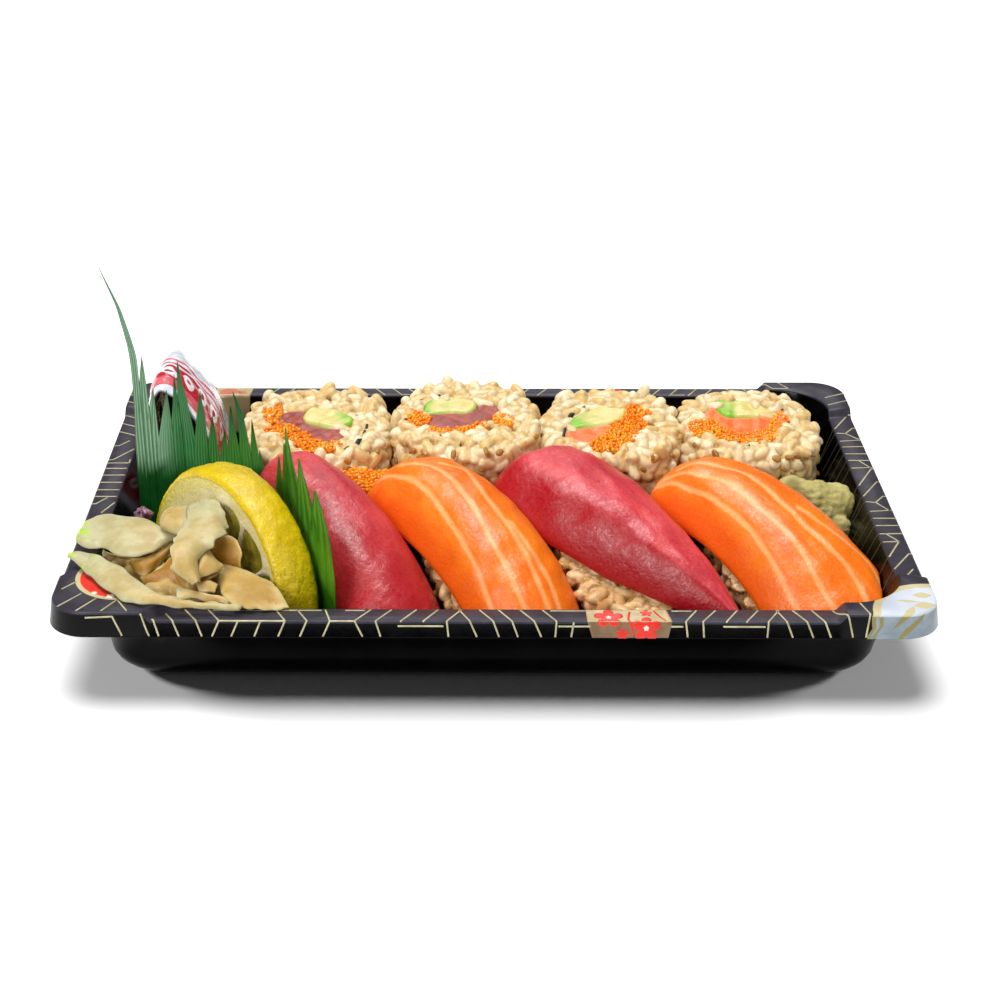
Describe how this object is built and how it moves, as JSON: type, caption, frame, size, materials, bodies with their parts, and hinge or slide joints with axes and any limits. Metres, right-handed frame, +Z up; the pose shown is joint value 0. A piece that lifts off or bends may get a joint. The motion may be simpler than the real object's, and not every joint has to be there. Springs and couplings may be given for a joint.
{
  "type": "takeaway sushi tray",
  "caption": "Shallow black takeaway tray filled with fish nigiri, cut rice rolls, pickled ginger, a lemon slice, cut-leaf dividers, a folded sauce sachet and wasabi.",
  "frame": {"origin": "centre of the tray's underside, on the surface that it stands on", "axes": "+X to the right along the tray's length, +Y from the nigiri at the front to the rolls at the back, +Z up"},
  "size_m": [0.216, 0.14, 0.086],
  "materials": {
    "tray_plastic": "glossy black formed sheet with thin pale gold lines",
    "rice": "moist cooked rice, ivory",
    "seasoned_rice": "glossy cooked rice, light brown",
    "nori": "dry black-green seaweed",
    "tuna": "moist deep rose fish with fine fibres",
    "salmon": "moist orange fish with pale fat lines",
    "avocado": "smooth pale yellow flesh, green at its edge",
    "roe": "glossy orange beads",
    "rind": "waxy dimpled yellow peel",
    "pulp": "moist olive amber wedges between pale membranes",
    "ginger": "moist translucent pale slices",
    "leaf": "ribbed green film",
    "film": "printed red and white film",
    "wasabi": "grainy pale green paste",
    "pickle": "wrinkled purple pickle"
  },
  "bodies": {
    "root": {"tray": "tray_plastic", "tuna_slice_1": "tuna", "nigiri_rice_1": "seasoned_rice", "salmon_slice_1": "salmon", "nigiri_rice_2": "seasoned_rice", "tuna_slice_2": "tuna", "nigiri_rice_3": "seasoned_rice", "salmon_slice_2": "salmon", "nigiri_rice_4": "seasoned_rice", "roll_rice_1": "rice", "roll_nori_1": "nori", "roll_avocado_1": "avocado", "roll_tuna_1": "tuna", "roll_roe_1": "roe", "roll_rice_2": "rice", "roll_nori_2": "nori", "roll_avocado_2": "avocado", "roll_tuna_2": "tuna", "roll_roe_2": "roe", "roll_rice_3": "rice", "roll_nori_3": "nori", "roll_avocado_3": "avocado", "roll_salmon_3": "salmon", "roll_roe_3": "roe", "roll_rice_4": "rice", "roll_nori_4": "nori", "roll_avocado_4": "avocado", "roll_salmon_4": "salmon", "roll_roe_4": "roe", "lemon_slice": "rind", "lemon_pulp": "pulp", "leaf_divider_back": "leaf", "leaf_divider_front": "leaf", "pickled_ginger": "ginger", "pickle_bit": "pickle", "sauce_sachet": "film", "wasabi": "wasabi", "roe_clump": "roe"}
  },
  "joints": []
}
